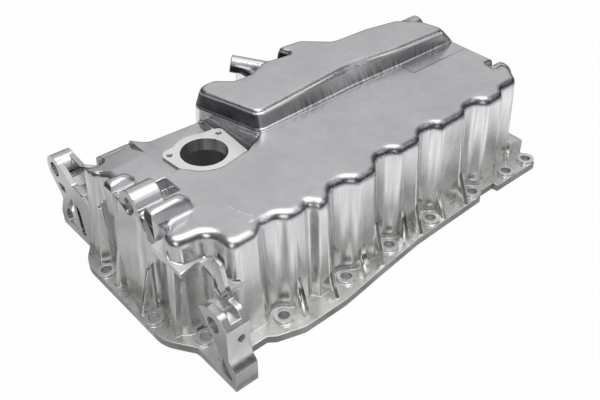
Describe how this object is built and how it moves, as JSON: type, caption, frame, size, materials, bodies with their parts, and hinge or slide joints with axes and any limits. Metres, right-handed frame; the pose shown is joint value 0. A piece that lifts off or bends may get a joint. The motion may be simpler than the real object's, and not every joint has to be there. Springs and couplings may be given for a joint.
{
  "type": "engine oil pan",
  "caption": "Cast aluminium engine oil pan with fluted walls, ribbed bolting flange, gearbox lugs, a raised deep block and a machined pad for an oil level sensor.",
  "frame": {"origin": "on the gasket face, in the plane of the gearbox face, midway between the two bolts of the rim's rounded end", "axes": "+X along the pan from the gearbox end to the pulley end, +Y across it, away from the side that the picture shows, +Z from the gasket face towards the floor of the pan, which is up in the picture"},
  "size_m": [0.4125, 0.2597, 0.115],
  "materials": {
    "cast_aluminium": "pressure die cast, satin, with machined faces"
  },
  "bodies": {
    "root": {"pan_casting": "cast_aluminium"}
  },
  "joints": []
}
